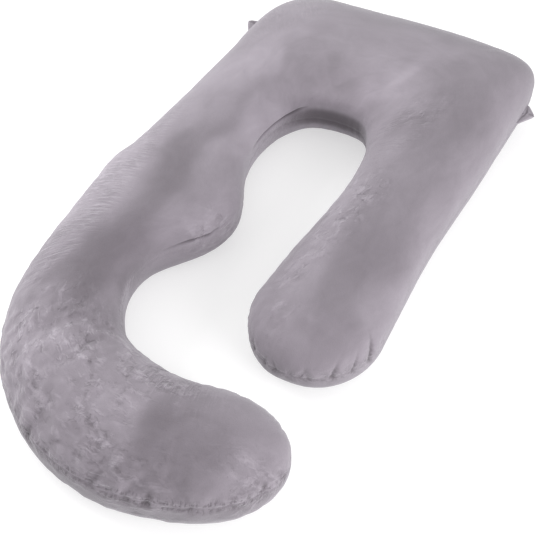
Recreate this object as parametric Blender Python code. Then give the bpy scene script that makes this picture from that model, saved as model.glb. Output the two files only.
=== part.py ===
"""A long body pillow in a loop with one hooked arm, lying on its back.

The pillow is one filled solid. It is lofted through ribs: each rib crosses the pillow from the
outer edge to the inner edge, arches over the crown and comes back flat underneath. An upper and
a lower panel of cloth meet in a seam that is drawn in all the way round, and the cloth puckers
across that seam at both round ends. Two small folded tabs are caught in the seam below the
corners of the head.

Metres, +Z up, +Y towards the head. The origin lies under the middle of the whole pillow, on the
surface that it rests on.
"""

import collections
import math

import bmesh
import bpy
import numpy as np

# The route of the pillow, one rib to a row, from the end of the short straight arm, round the
# head and down the long arm to the end of the hook. A rib has its two ends in plan, the height
# of the crown above the floor and the height of the seam.
Rib = collections.namedtuple("Rib", "place outer_x outer_y inner_x inner_y crown seam")
RIBS = (
    Rib("end of the arm", 0.360, -0.200, 0.070, -0.215, 0.168, 0.087),
    Rib("arm, low", 0.358, -0.060, 0.086, -0.065, 0.171, 0.087),
    Rib("arm, middle", 0.360, 0.110, 0.110, 0.115, 0.173, 0.086),
    Rib("arm, top", 0.376, 0.305, 0.110, 0.240, 0.176, 0.084),
    Rib("right of the hollow", 0.386, 0.455, 0.099, 0.298, 0.180, 0.082),
    Rib("below the right corner", 0.395, 0.590, 0.078, 0.338, 0.184, 0.082),
    Rib("right corner", 0.381, 0.720, 0.050, 0.359, 0.186, 0.082),
    Rib("head, right", 0.265, 0.760, 0.020, 0.366, 0.188, 0.080),
    Rib("head, middle", 0.087, 0.765, -0.007, 0.367, 0.190, 0.080),
    Rib("head, left", -0.103, 0.760, -0.034, 0.364, 0.188, 0.080),
    Rib("left corner", -0.257, 0.742, -0.062, 0.356, 0.186, 0.082),
    Rib("below the left corner", -0.343, 0.638, -0.090, 0.340, 0.184, 0.082),
    Rib("shoulder", -0.365, 0.465, -0.115, 0.315, 0.180, 0.082),
    Rib("left of the hollow", -0.377, 0.319, -0.134, 0.278, 0.176, 0.082),
    Rib("long arm", -0.390, 0.185, -0.145, 0.195, 0.174, 0.080),
    Rib("above the bump", -0.406, 0.063, -0.124, 0.090, 0.174, 0.078),
    Rib("bump", -0.421, -0.040, -0.080, -0.015, 0.174, 0.078),
    Rib("below the bump", -0.423, -0.158, -0.100, -0.115, 0.174, 0.078),
    Rib("top of the bay", -0.416, -0.302, -0.171, -0.198, 0.172, 0.082),
    Rib("bay", -0.395, -0.445, -0.195, -0.275, 0.172, 0.090),
    Rib("foot of the bay", -0.345, -0.565, -0.180, -0.350, 0.174, 0.100),
    Rib("turn of the hook", -0.262, -0.664, -0.137, -0.418, 0.176, 0.112),
    Rib("hook, left", -0.134, -0.740, -0.082, -0.456, 0.178, 0.120),
    Rib("hook, middle", 0.017, -0.765, 0.014, -0.476, 0.178, 0.120),
    Rib("end of the hook", 0.152, -0.736, 0.086, -0.471, 0.174, 0.114),
)

# How far the two round ends reach past the first rib and the last, and how far they turn inwards.
ARM_REACH = 0.156
ARM_TURN = math.radians(1.5)
HOOK_REACH = 0.205
HOOK_TURN = math.radians(3.0)

# The section of a rib: its widest line as a share of the crown's height, how square it is above
# on a narrow arm and on the broad head, how square it is below, and how much of it the floor
# presses flat.
WIDEST = 0.52
ARM_SQUARENESS = 2.2
HEAD_SQUARENESS = 2.6
BELLY_SQUARENESS = 3.0
ARM_WIDTH = 0.30
HEAD_WIDTH = 0.42
PRESSED_FLAT = 0.006
END_ROUNDING = 0.75

# The drawn-in seam between the panels.
SEAM_DEPTH = 0.005
SEAM_REACH = 0.007

# The puckers that radiate across the seam at the round ends. Each is a shallow trough in the
# upright plane through a centre, in a compass direction, between two heights.
Pucker = collections.namedtuple("Pucker", "place x y direction low high width depth")
PUCKERS = (
    Pucker("arm, inner turn", 0.215, -0.215, 246, 0.050, 0.120, 0.012, 0.004),
    Pucker("arm, tip", 0.215, -0.215, 262, 0.045, 0.125, 0.012, 0.005),
    Pucker("arm, tip", 0.215, -0.215, 287, 0.045, 0.130, 0.012, 0.005),
    Pucker("arm, turn", 0.215, -0.215, 307, 0.040, 0.140, 0.012, 0.008),
    Pucker("arm, turn", 0.215, -0.215, 324, 0.050, 0.130, 0.012, 0.006),
    Pucker("arm, outer turn", 0.215, -0.215, 341, 0.045, 0.140, 0.013, 0.007),
    Pucker("hook, under", 0.130, -0.600, 251, 0.060, 0.150, 0.014, 0.005),
    Pucker("hook, under", 0.130, -0.600, 267, 0.060, 0.150, 0.014, 0.005),
    Pucker("hook, turn", 0.130, -0.600, 301, 0.050, 0.135, 0.013, 0.004),
    Pucker("hook, turn", 0.130, -0.600, 330, 0.050, 0.135, 0.013, 0.005),
    Pucker("hook, end", 0.130, -0.600, 353, 0.040, 0.155, 0.014, 0.008),
    Pucker("hook, end", 0.130, -0.600, 10, 0.050, 0.140, 0.014, 0.004),
)

# The tabs: folded ears of the same cloth. Each runs between two places along the outer seam,
# counted in ribs, stands proudest at its tip, and lifts or droops there.
Tab = collections.namedtuple("Tab", "name start end tip proud lift")
TABS = (
    Tab("tab_right", 4.74, 5.30, 5.12, 0.027, -0.003),
    Tab("tab_left", 10.96, 11.46, 11.10, 0.050, 0.012),
)
TAB_THICKNESS = 0.009
TAB_GAP = 0.0005

# How finely the surfaces are divided.
RINGS_ALONG = 142
RINGS_AT_END = 18
UPPER_SHARES = (0.0, 0.02, 0.06, 0.13, 0.215, 0.31, 0.405, 0.5)
LOWER_SHARES = (0.0, 0.025, 0.08, 0.17, 0.27, 0.38, 0.5)


def clear_scene():
    for obj in list(bpy.data.objects):
        bpy.data.objects.remove(obj)


def cloth_material(name, colour, roughness):
    material = bpy.data.materials.new(name)
    material.use_nodes = True
    shader = material.node_tree.nodes["Principled BSDF"]
    shader.inputs["Base Color"].default_value = (*colour, 1.0)
    shader.inputs["Roughness"].default_value = roughness
    shader.inputs["Metallic"].default_value = 0.0
    return material


def curve_through(values, places):
    """The natural cubic spline through the rows of values, read at the given places."""
    count = len(values)
    system = np.eye(count)
    bend = np.zeros_like(values)
    for k in range(1, count - 1):
        system[k, k - 1 : k + 2] = (1.0, 4.0, 1.0)
        bend[k] = 6.0 * (values[k + 1] - 2.0 * values[k] + values[k - 1])
    bend = np.linalg.solve(system, bend)
    k = np.clip(np.floor(places).astype(int), 0, count - 2)
    t = (places - k)[:, None]
    straight = values[k] * (1.0 - t) + values[k + 1] * t
    return straight + ((1.0 - t) ** 3 - 1.0 + t) * bend[k] / 6.0 + (t**3 - t) * bend[k + 1] / 6.0


def ribs_at(places):
    """Outer ends, inner ends, crowns and seams at places along the route, counted in ribs."""
    table = np.array([rib[1:] for rib in RIBS])
    rows = curve_through(table, np.asarray(places, float))
    return rows[:, 0:2], rows[:, 2:4], rows[:, 4], rows[:, 5]


def round_end(place, step, reach, turn):
    """A half ellipse of chords past the rib at this place, and how much each keeps of its height.

    The chords move along the mean direction in which both edges arrive, so the edges run on
    without a corner: chord(angle) = middle + ahead * reach * sin(angle) +- half * cos(angle).
    A small turn swings that direction towards the inside of the loop.
    """
    outer, inner = (ends for ends in ribs_at([place, place + step])[:2])
    arriving = [ends[0] - ends[1] for ends in (outer, inner)]
    ahead = sum(way / np.linalg.norm(way) for way in arriving)
    ahead = ahead / np.linalg.norm(ahead)
    ahead = ahead * math.cos(turn) + np.array([-ahead[1], ahead[0]]) * math.sin(turn)
    middle = (outer[0] + inner[0]) / 2.0
    half = (outer[0] - inner[0]) / 2.0
    angle = np.radians(np.linspace(0.0, 90.0, RINGS_AT_END + 1)[1:])
    angle[-1] = math.radians(88.0)
    forward = np.outer(np.sin(angle), ahead * reach)
    across = np.outer(np.cos(angle), half)
    core = np.repeat([middle], RINGS_AT_END, axis=0)
    return middle + forward + across, middle + forward - across, core, np.cos(angle) ** END_ROUNDING


def all_ribs():
    """Every rib of the loft in order: outer, inner, core, crown, seam and kept height."""
    last = len(RIBS) - 1.0
    outer, inner, crown, seam = ribs_at(np.linspace(0.0, last, RINGS_ALONG))
    arm = round_end(0.0, 0.1, ARM_REACH, ARM_TURN)
    hook = round_end(last, -0.1, HOOK_REACH, HOOK_TURN)
    return (
        np.vstack([arm[0][::-1], outer, hook[0]]),
        np.vstack([arm[1][::-1], inner, hook[1]]),
        np.vstack([arm[2], (outer + inner) / 2.0, hook[2]]),
        np.pad(crown, RINGS_AT_END, mode="edge"),
        np.pad(seam, RINGS_AT_END, mode="edge"),
        np.concatenate([arm[3][::-1], np.ones(RINGS_ALONG), hook[3]]),
    )


def squareness_above(width):
    """A narrow arm is nearly round on top, and the broad head has a flatter crown."""
    share = np.clip((width - ARM_WIDTH) / (HEAD_WIDTH - ARM_WIDTH), 0.0, 1.0)
    return ARM_SQUARENESS + (HEAD_SQUARENESS - ARM_SQUARENESS) * share


def seam_angle(crown, seam, square):
    """The section's angle at which the seam lies, from the widest line."""
    widest = WIDEST * crown
    above = np.clip((seam - widest) / (crown - widest), 0.0, 1.0) ** (square / 2.0)
    below = np.clip((widest - seam) / (widest + PRESSED_FLAT), 0.0, 1.0) ** (BELLY_SQUARENESS / 2.0)
    return np.where(seam > widest, np.arcsin(above), -np.arcsin(below))


def mirrored(shares):
    return np.array(shares[:-1] + tuple(1.0 - share for share in reversed(shares)))


def section_angles(start):
    """Angles round each section. Both panels begin and end on the seam, with close lines there."""
    upper = mirrored(UPPER_SHARES)[:-1]
    lower = mirrored(LOWER_SHARES)[:-1]
    start = start[:, None]
    over = start + (math.pi - 2.0 * start) * upper
    under = math.pi - start + (math.pi + 2.0 * start) * lower
    return np.concatenate([over, under], axis=1), len(upper)


def signed_power(value, power):
    return np.sign(value) * np.abs(value) ** power


def pillow_rings():
    """The points of every ring, and the column of the inner seam."""
    outer, inner, core, crown, seam, kept = all_ribs()
    width = np.linalg.norm(outer - inner, axis=1)
    square = squareness_above(width)
    angles, inner_seam = section_angles(seam_angle(crown, seam, square))
    above = np.sin(angles) >= 0.0
    power = np.where(above, 2.0 / square[:, None], 2.0 / BELLY_SQUARENESS)
    across = signed_power(np.cos(angles), power)
    up = signed_power(np.sin(angles), power)
    widest = (WIDEST * crown)[:, None]
    tall = np.where(above, crown[:, None] - widest, widest + PRESSED_FLAT) * kept[:, None]
    plan = ((outer + inner) / 2.0)[:, None, :] + ((outer - inner) / 2.0)[:, None, :] * across[..., None]
    points = np.concatenate([plan, (widest + tall * up)[..., None]], axis=2)
    heart = np.concatenate([core, widest], axis=1)[:, None, :]
    inward = heart - points
    inward = inward / np.linalg.norm(inward, axis=2, keepdims=True)
    points = points + inward * seam_depth(points, inner_seam)[..., None]
    points = points + inward * pucker_depth(points)[..., None]
    points[..., 2] = np.maximum(points[..., 2], 0.0)
    return points


def seam_depth(points, inner_seam):
    """The groove along both seams: deepest on the seam, gone a little way up and down."""
    to_outer = np.linalg.norm(points - points[:, :1], axis=2)
    to_inner = np.linalg.norm(points - points[:, inner_seam : inner_seam + 1], axis=2)
    nearest = np.minimum(to_outer, to_inner)
    return SEAM_DEPTH * np.exp(-((nearest / SEAM_REACH) ** 2))


def pucker_depth(points):
    """The troughs of all puckers together, at each point."""
    total = np.zeros(points.shape[:2])
    for pucker in PUCKERS:
        turn = math.radians(pucker.direction)
        east = points[..., 0] - pucker.x
        north = points[..., 1] - pucker.y
        ahead = east * math.cos(turn) + north * math.sin(turn)
        aside = north * math.cos(turn) - east * math.sin(turn)
        middle = (pucker.low + pucker.high) / 2.0
        reach = (pucker.high - pucker.low) / 2.0
        rise = np.clip(1.0 - ((points[..., 2] - middle) / reach) ** 2, 0.0, 1.0)
        trough = np.exp(-((aside / pucker.width) ** 2)) * rise
        total += np.where(ahead > 0.0, pucker.depth * trough, 0.0)
    return total


def lofted(name, rings, material):
    """A closed solid through closed rings of points, with both ends filled."""
    shape = bmesh.new()
    edges = []
    for ring in rings:
        verts = [shape.verts.new(point) for point in ring]
        pairs = zip(verts, verts[1:] + verts[:1])
        edges.append([shape.edges.new(pair) for pair in pairs])
    for first, second in zip(edges, edges[1:]):
        bmesh.ops.bridge_loops(shape, edges=first + second)
    bmesh.ops.contextual_create(shape, geom=edges[0])
    bmesh.ops.contextual_create(shape, geom=edges[-1])
    bmesh.ops.triangulate(shape, faces=[face for face in shape.faces if len(face.verts) > 4])
    bmesh.ops.recalc_face_normals(shape, faces=shape.faces)
    mesh = bpy.data.meshes.new(name)
    shape.to_mesh(mesh)
    shape.free()
    mesh.shade_smooth()
    mesh.materials.append(material)
    obj = bpy.data.objects.new(name, mesh)
    bpy.context.scene.collection.objects.link(obj)
    return obj


def tab_section(proud):
    """One slice of a folded tab, as distances out from the seam and half thicknesses.

    The slice is thin where it leaves the groove of the seam, fullest before its fold and round
    at the fold. Both leaves are followed, out along the lower and back along the upper.
    """
    share = np.array([0.0, 0.12, 0.3, 0.55, 0.8, 0.95, 1.0])
    thick = np.array([0.10, 0.45, 0.75, 0.9, 1.0, 0.7, 0.0]) * TAB_THICKNESS / 2.0
    out = np.concatenate([share, share[-2::-1]]) * proud
    up = np.concatenate([-thick, thick[-2::-1]])
    return out, up


def tab_rings(tab, slices=17):
    """The slices of one tab along the seam, lifting or drooping a little towards their fold."""
    share = np.linspace(0.0, 1.0, slices)
    outer, inner, crown, seam = ribs_at(tab.start + (tab.end - tab.start) * share)
    tip = (tab.tip - tab.start) / (tab.end - tab.start)
    slope = np.where(share < tip, share / tip, (1.0 - share) / (1.0 - tip))
    proud = 0.008 + (tab.proud + SEAM_DEPTH - 0.008) * np.sin(slope * math.pi / 2.0) ** 1.5
    square = squareness_above(np.linalg.norm(outer - inner, axis=1))
    turn = seam_angle(crown, seam, square)
    power = np.where(turn > 0.0, 2.0 / square, 2.0 / BELLY_SQUARENESS)
    edge = (outer + inner) / 2.0 + (outer - inner) / 2.0 * (np.cos(turn) ** power)[:, None]
    along = np.gradient(edge, axis=0)
    away = np.stack([along[:, 1], -along[:, 0]], axis=1) / np.linalg.norm(along, axis=1)[:, None]
    inward = (outer + inner) / 2.0 - edge
    inward = inward / np.linalg.norm(inward, axis=1)[:, None]
    rings = []
    for k in range(slices):
        out, up = tab_section(proud[k])
        root = edge[k] + inward[k] * (SEAM_DEPTH - TAB_GAP)
        fade = 0.35 + 0.65 * slope[k] ** 0.6
        rise = tab.lift * (out / tab.proud) ** 1.5
        ring = np.empty((len(out), 3))
        ring[:, :2] = root + away[k] * out[:, None]
        ring[:, 2] = seam[k] + up * fade + rise
        rings.append(ring)
    return rings


def main():
    clear_scene()
    cloth = cloth_material("velvet cloth", (0.34, 0.31, 0.34), 0.85)
    folded = cloth_material("folded cloth", (0.30, 0.28, 0.30), 0.85)
    pillow = lofted("pillow", pillow_rings(), cloth)
    for tab in TABS:
        ear = lofted(tab.name, tab_rings(tab), folded)
        ear.parent = pillow


main()
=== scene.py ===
# %% [markdown]
# # A body pillow, dressed around its CAD model
#
# The real thing is a cover of short plush cloth, sewn from an upper and a
# lower panel and stuffed with loose fibre. It lies on its back as one long
# loop: a broad head, a short straight arm and a long arm that ends in a
# hook. The CAD model gives the size and the main form. This script replaces
# its plain solids with finer skins: a pillow that has the cloth's own folds
# and a sewn seam, and two folded tabs, all with a plush finish. The packed
# part is loaded first, as a fixed frame.

# %% The frame
import collections
import math

import bpy
import numpy as np
from mathutils import Matrix, Vector


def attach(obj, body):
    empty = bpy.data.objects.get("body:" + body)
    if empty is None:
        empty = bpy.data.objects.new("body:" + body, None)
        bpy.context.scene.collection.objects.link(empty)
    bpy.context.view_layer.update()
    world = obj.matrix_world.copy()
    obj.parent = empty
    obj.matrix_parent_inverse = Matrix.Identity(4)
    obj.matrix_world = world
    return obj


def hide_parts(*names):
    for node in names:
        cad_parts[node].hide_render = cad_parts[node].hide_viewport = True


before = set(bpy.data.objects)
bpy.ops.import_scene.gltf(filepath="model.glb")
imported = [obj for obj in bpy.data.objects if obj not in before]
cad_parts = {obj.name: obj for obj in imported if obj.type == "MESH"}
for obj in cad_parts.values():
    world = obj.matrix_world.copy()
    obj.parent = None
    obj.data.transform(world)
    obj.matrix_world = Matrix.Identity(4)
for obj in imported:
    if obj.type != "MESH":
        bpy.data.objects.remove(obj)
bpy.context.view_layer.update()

print("nodes:", sorted(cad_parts))

# %% [markdown]
# ## The camera
#
# The pillow is seen from above its foot and a little to the right, with a
# longish lens. The angle was found by matching the outline of the part. A
# camera looks along its own -Z axis, so its three axes are worked out from
# the two angles and the small roll, and written into its matrix.

# %% Camera
AZIMUTH = math.radians(28.05)
ELEVATION = math.radians(51.26)
ROLL = math.radians(-1.08)
DISTANCE = 2.1465
LOOKED_AT = Vector((0.0727, -0.1440, 0.09))

backward = Vector(
    (
        math.sin(AZIMUTH) * math.cos(ELEVATION),
        -math.cos(AZIMUTH) * math.cos(ELEVATION),
        math.sin(ELEVATION),
    )
)
level_right = Vector((math.cos(AZIMUTH), math.sin(AZIMUTH), 0.0))
level_up = backward.cross(level_right)
right = level_right * math.cos(ROLL) + level_up * math.sin(ROLL)
up = level_up * math.cos(ROLL) - level_right * math.sin(ROLL)

camera_data = bpy.data.cameras.new("camera")
camera_data.sensor_width = 36.0
camera_data.lens = 64.31
camera_data.shift_x = -0.0006
camera_data.shift_y = -0.0007
camera = bpy.data.objects.new("camera", camera_data)
placed = Matrix((right, up, backward)).transposed().to_4x4()
placed.translation = LOOKED_AT + backward * DISTANCE
camera.matrix_world = placed
bpy.context.scene.collection.objects.link(camera)
bpy.context.scene.camera = camera
print("camera stands at", [round(value, 3) for value in placed.translation])

# %% [markdown]
# ## The floor and the light
#
# Plush cloth shows its pile when soft light comes from all round, so the
# studio is a white sky over a pale floor. Three broad low lamps, left, right
# and behind, graze the sides of the pillow and light up the tips of the
# pile there. A hard lamp would draw edges that such cloth doesn't show. The
# floor glows a little, to stay near white in the shade of the loop. It isn't
# part of the object.

# %% Floor
bpy.context.scene.view_settings.view_transform = "Standard"


def set_inputs(node, **values):
    """Sets plain values on a node's inputs; _ stands for a space."""
    for name, value in values.items():
        node.inputs[name.replace("_", " ")].default_value = value


FLOOR_HALF = 30.0
FLOOR_DROP = 0.0004
floor_mesh = bpy.data.meshes.new("floor")
floor_mesh.from_pydata(
    [(x * FLOOR_HALF, y * FLOOR_HALF, -FLOOR_DROP) for x, y in ((-1, -1), (1, -1), (1, 1), (-1, 1))],
    [],
    [(0, 1, 2, 3)],
)
floor_finish = bpy.data.materials.new("studio_floor")
floor_finish.use_nodes = True
set_inputs(
    floor_finish.node_tree.nodes["Principled BSDF"],
    Base_Color=(0.56, 0.56, 0.56, 1.0),
    Roughness=0.9,
    Specular_IOR_Level=0.1,
    Emission_Color=(1.0, 1.0, 1.0, 1.0),
    Emission_Strength=0.50,
)
floor_mesh.materials.append(floor_finish)
floor = bpy.data.objects.new("floor", floor_mesh)
bpy.context.scene.collection.objects.link(floor)


# %% Lamps
def soft_lamp(name, place, aim, size, power):
    """A square lamp that hangs at a place and shines at a point."""
    light = bpy.data.lights.new(name, "AREA")
    light.size = size
    light.energy = power
    lamp = bpy.data.objects.new(name, light)
    turn = (Vector(aim) - Vector(place)).to_track_quat("-Z", "Y")
    lamp.matrix_world = Matrix.LocRotScale(Vector(place), turn, None)
    bpy.context.scene.collection.objects.link(lamp)


soft_lamp("lamp_behind", (-1.3, 2.5, 1.7), (0.0, 0.1, 0.0), 2.2, 8.0)
soft_lamp("lamp_left", (-2.6, 0.1, 1.1), (0.0, 0.0, 0.0), 1.6, 64.0)
soft_lamp("lamp_right", (2.5, -0.8, 1.1), (0.0, 0.0, 0.0), 1.6, 58.0)

world = bpy.data.worlds.new("white_studio")
world.use_nodes = True
set_inputs(world.node_tree.nodes["Background"], Color=(1.0, 1.0, 1.0, 1.0), Strength=0.84)
bpy.context.scene.world = world

# %% [markdown]
# ## The form, as ribs
#
# A cover of this kind is drawn as one long flat shape. Here it is described
# as a boat is: by ribs that stand across the pillow, one after the other
# from the end of the straight arm, round the head, and down the long arm to
# the hook. Each rib names the two edges of the cover, how high the crown
# is and how high the seam lies. It could be a path with a round profile, but
# then the broad head and the narrow arms couldn't share one surface.

# %% Ribs
Rib = collections.namedtuple("Rib", "place outer_x outer_y inner_x inner_y crown seam")
RIBS = (
    Rib("end of the arm", 0.360, -0.200, 0.070, -0.215, 0.168, 0.087),
    Rib("arm, low", 0.358, -0.060, 0.086, -0.065, 0.171, 0.087),
    Rib("arm, middle", 0.360, 0.110, 0.110, 0.115, 0.173, 0.086),
    Rib("arm, top", 0.376, 0.305, 0.110, 0.240, 0.176, 0.084),
    Rib("right of the hollow", 0.386, 0.455, 0.099, 0.298, 0.180, 0.082),
    Rib("below the right corner", 0.395, 0.590, 0.078, 0.338, 0.184, 0.082),
    Rib("right corner", 0.381, 0.720, 0.050, 0.359, 0.186, 0.082),
    Rib("head, right", 0.265, 0.760, 0.020, 0.366, 0.188, 0.080),
    Rib("head, middle", 0.087, 0.765, -0.007, 0.367, 0.190, 0.080),
    Rib("head, left", -0.103, 0.760, -0.034, 0.364, 0.188, 0.080),
    Rib("left corner", -0.257, 0.742, -0.062, 0.356, 0.186, 0.082),
    Rib("below the left corner", -0.343, 0.638, -0.090, 0.340, 0.184, 0.082),
    Rib("shoulder", -0.365, 0.465, -0.115, 0.315, 0.180, 0.082),
    Rib("left of the hollow", -0.377, 0.319, -0.134, 0.278, 0.176, 0.082),
    Rib("long arm", -0.390, 0.185, -0.145, 0.195, 0.174, 0.080),
    Rib("above the bump", -0.406, 0.063, -0.124, 0.090, 0.174, 0.078),
    Rib("bump", -0.421, -0.040, -0.080, -0.015, 0.174, 0.078),
    Rib("below the bump", -0.423, -0.158, -0.100, -0.115, 0.174, 0.078),
    Rib("top of the bay", -0.416, -0.302, -0.171, -0.198, 0.172, 0.082),
    Rib("bay", -0.395, -0.445, -0.195, -0.275, 0.172, 0.090),
    Rib("foot of the bay", -0.345, -0.565, -0.180, -0.350, 0.174, 0.100),
    Rib("turn of the hook", -0.262, -0.664, -0.137, -0.418, 0.176, 0.112),
    Rib("hook, left", -0.134, -0.740, -0.082, -0.456, 0.178, 0.120),
    Rib("hook, middle", 0.017, -0.765, 0.014, -0.476, 0.178, 0.120),
    Rib("end of the hook", 0.152, -0.736, 0.086, -0.471, 0.174, 0.114),
)
SIZES = np.array([rib[1:] for rib in RIBS])
LAST = len(RIBS) - 1.0
print(len(RIBS), "ribs; widest", round(max(math.dist(rib[1:3], rib[3:5]) for rib in RIBS), 3), "m")

# %% [markdown]
# Between the ribs the sizes follow a smooth curve, the one a thin strip of
# wood takes when it is held at each rib. Its bends come from one small set of
# equations. The same curve then serves every ring of the surface at once.


# %% A smooth curve through the ribs
def curve_through(rows, places):
    """Natural cubic spline: the bends at the ribs solve a tridiagonal system,
    and each point mixes the two ribs beside it and their two bends."""
    count = len(rows)
    inside = np.arange(1, count - 1)
    system = np.eye(count)
    system[inside, inside - 1] = 1.0
    system[inside, inside] = 4.0
    system[inside, inside + 1] = 1.0
    wanted = np.zeros_like(rows)
    wanted[1:-1] = 6.0 * (rows[2:] - 2.0 * rows[1:-1] + rows[:-2])
    bends = np.linalg.solve(system, wanted)
    before = np.clip(np.floor(places).astype(int), 0, count - 2)
    part = (places - before)[..., None]
    rest = 1.0 - part
    straight = rows[before] * rest + rows[before + 1] * part
    bent = (rest**3 - rest) * bends[before] + (part**3 - part) * bends[before + 1]
    return straight + bent / 6.0


middle_width = curve_through(SIZES, np.array([8.0]))[0]
print("head, middle: crown", round(middle_width[4], 3), "m, seam at", round(middle_width[5], 3), "m")

# %% [markdown]
# The two ends are round. Past the last rib the pillow goes on as half an
# ellipse: the edges close in with the cosine of an angle while the middle
# moves ahead with its sine, and the height falls in the same way.

# %% The round ends
ARM_REACH = 0.156
ARM_TURN = math.radians(1.5)
HOOK_REACH = 0.205
HOOK_TURN = math.radians(3.0)
END_ANGLE = math.radians(88.0)
END_ROUNDING = 0.75
STEP_BACK = 0.1


def way_ahead(place, step, turn, reach):
    """Mean direction in which both edges arrive at a rib, turned a little,
    times how far the round end goes on."""
    here, back = curve_through(SIZES, np.array([place, place + step]))
    outer, inner = here[0:2] - back[0:2], here[2:4] - back[2:4]
    ahead = outer / np.linalg.norm(outer) + inner / np.linalg.norm(inner)
    ahead *= reach / np.linalg.norm(ahead)
    cosine, sine = math.cos(turn), math.sin(turn)
    return np.array([ahead[0] * cosine - ahead[1] * sine, ahead[0] * sine + ahead[1] * cosine])


ARM_AHEAD = way_ahead(0.0, STEP_BACK, ARM_TURN, ARM_REACH)
HOOK_AHEAD = way_ahead(LAST, -STEP_BACK, HOOK_TURN, HOOK_REACH)
print("arm ends towards", ARM_AHEAD.round(3), "and hook towards", HOOK_AHEAD.round(3))

# %% [markdown]
# ## The skin
#
# Cut across, a full pillow is a rounded form with a high crown and a flat
# underside. A superellipse gives both: the crown uses a power a little over
# two, the underside one of three, and the flat part is where it would go
# below the floor. Each ring starts and ends on the seam, so the same columns
# of the grid always lie on the sewn line, and one panel never slides into
# the other.

# %% One skin for all the rings
WIDEST = 0.52
BELLY_SQUARENESS = 3.0
ARM_SQUARENESS, HEAD_SQUARENESS = 2.2, 2.6
ARM_WIDTH, HEAD_WIDTH = 0.30, 0.42
PRESSED_FLAT = 0.006


def signed_power(value, power):
    """A power that keeps the sign of what it is given."""
    return np.sign(value) * np.abs(value) ** power


def skin(along, around, fullness=1.0):
    """Points of the pillow on a grid. along counts ribs, and runs from -1 to 0
    and one past the last rib over the round ends. around runs from 0 to 1 over
    the upper panel and from 1 to 2 under the lower one. Each point is the
    middle of its rib, plus half its width times a power of the cosine, and the
    widest height plus a power of the sine."""
    row = curve_through(SIZES, np.clip(along, 0.0, LAST))
    outer, inner = row[..., 0:2], row[..., 2:4]
    crown, seam = row[..., 4] * fullness, row[..., 5]
    past_arm, past_hook = np.clip(-along, 0.0, 1.0), np.clip(along - LAST, 0.0, 1.0)
    angle = (past_arm + past_hook) * END_ANGLE
    ahead = np.where((past_arm > 0.0)[..., None], ARM_AHEAD, HOOK_AHEAD)
    middle = (outer + inner) / 2.0 + ahead * np.sin(angle)[..., None]
    half = (outer - inner) / 2.0 * np.cos(angle)[..., None]
    width = 2.0 * np.linalg.norm(half, axis=-1)
    share = np.clip((width - ARM_WIDTH) / (HEAD_WIDTH - ARM_WIDTH), 0.0, 1.0)
    square = ARM_SQUARENESS + (HEAD_SQUARENESS - ARM_SQUARENESS) * share
    widest = WIDEST * crown
    above, below = crown - widest, widest + PRESSED_FLAT
    start_up = np.arcsin(np.clip((seam - widest) / above, 0.0, 1.0) ** (square / 2.0))
    start_down = np.arcsin(np.clip((widest - seam) / below, 0.0, 1.0) ** (BELLY_SQUARENESS / 2.0))
    start = np.where(seam > widest, start_up, -start_down)
    over, under = np.clip(around, 0.0, 1.0), np.clip(around - 1.0, 0.0, 1.0)
    turn = start + (math.pi - 2.0 * start) * over + (math.pi + 2.0 * start) * under
    upper_side = np.sin(turn) >= 0.0
    power = np.where(upper_side, 2.0 / square, 2.0 / BELLY_SQUARENESS)
    plan = middle + half * signed_power(np.cos(turn), power)[..., None]
    height = np.where(upper_side, above, below) * np.cos(angle) ** END_ROUNDING
    z = widest + height * signed_power(np.sin(turn), power)
    return np.concatenate([plan, np.maximum(z, 0.0)[..., None]], axis=-1)


# %% [markdown]
# The grid is finest where the cloth does most: beside the seam, where it is
# gathered, and over the round ends. Every second ring and column makes a
# coarser grid for the cloth simulation, whose result is then carried back.

# %% The grid
RINGS_BETWEEN_RIBS = 18
RINGS_AT_END = 44
UPPER_COLUMNS, LOWER_COLUMNS = 100, 76


def eased(count, crowding):
    """count places from 0 towards 1, closer together near both ends."""
    even = np.arange(count) / count
    return even - crowding * np.sin(2.0 * math.pi * even) / (2.0 * math.pi)


ring_places = np.concatenate(
    [
        -1.0 + np.arange(RINGS_AT_END) / RINGS_AT_END,
        np.arange(int(LAST) * RINGS_BETWEEN_RIBS) / RINGS_BETWEEN_RIBS,
        LAST + np.arange(RINGS_AT_END + 1) / RINGS_AT_END,
    ]
)
column_places = np.concatenate([eased(UPPER_COLUMNS, 0.62), 1.0 + eased(LOWER_COLUMNS, 0.5)])
ALONG, AROUND = np.meshgrid(ring_places, column_places, indexing="ij")
smooth_skin = skin(ALONG, AROUND)
RINGS, COLUMNS = ALONG.shape
print("grid of", RINGS, "rings by", COLUMNS, "columns")


# %% [markdown]
# Two places stand out from the plain ribs: the crown runs on almost level
# before it drops into the hollow, so its edge there is sharp, and the outer
# side of the long arm has a slight corner. Each is a soft swelling on the skin,
# set by the rib and by how far round the ring it lies.

# %% Swellings
Band = collections.namedtuple("Band", "place rib around ribs_wide around_wide amount")
SWELLINGS = (
    Band("edge above the hollow", 9.9, 0.865, 2.8, 0.055, 0.0085),
    Band("left corner of the hollow", 13.0, 0.890, 1.2, 0.045, 0.0045),
    Band("corner of the long arm", 15.9, 0.100, 0.45, 0.120, 0.0060),
)


def banded(bands, power):
    """Sum of bands on the grid: each falls with a power of how far a point is
    from its rib, and from its place round the ring. A high power gives a level
    band with crisp sides."""
    total = np.zeros(ALONG.shape)
    for band in bands:
        along, around = (ALONG - band.rib) / band.ribs_wide, (AROUND - band.around) / band.around_wide
        total += band.amount * np.exp(-(along**power) - around**power)
    return total


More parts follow.
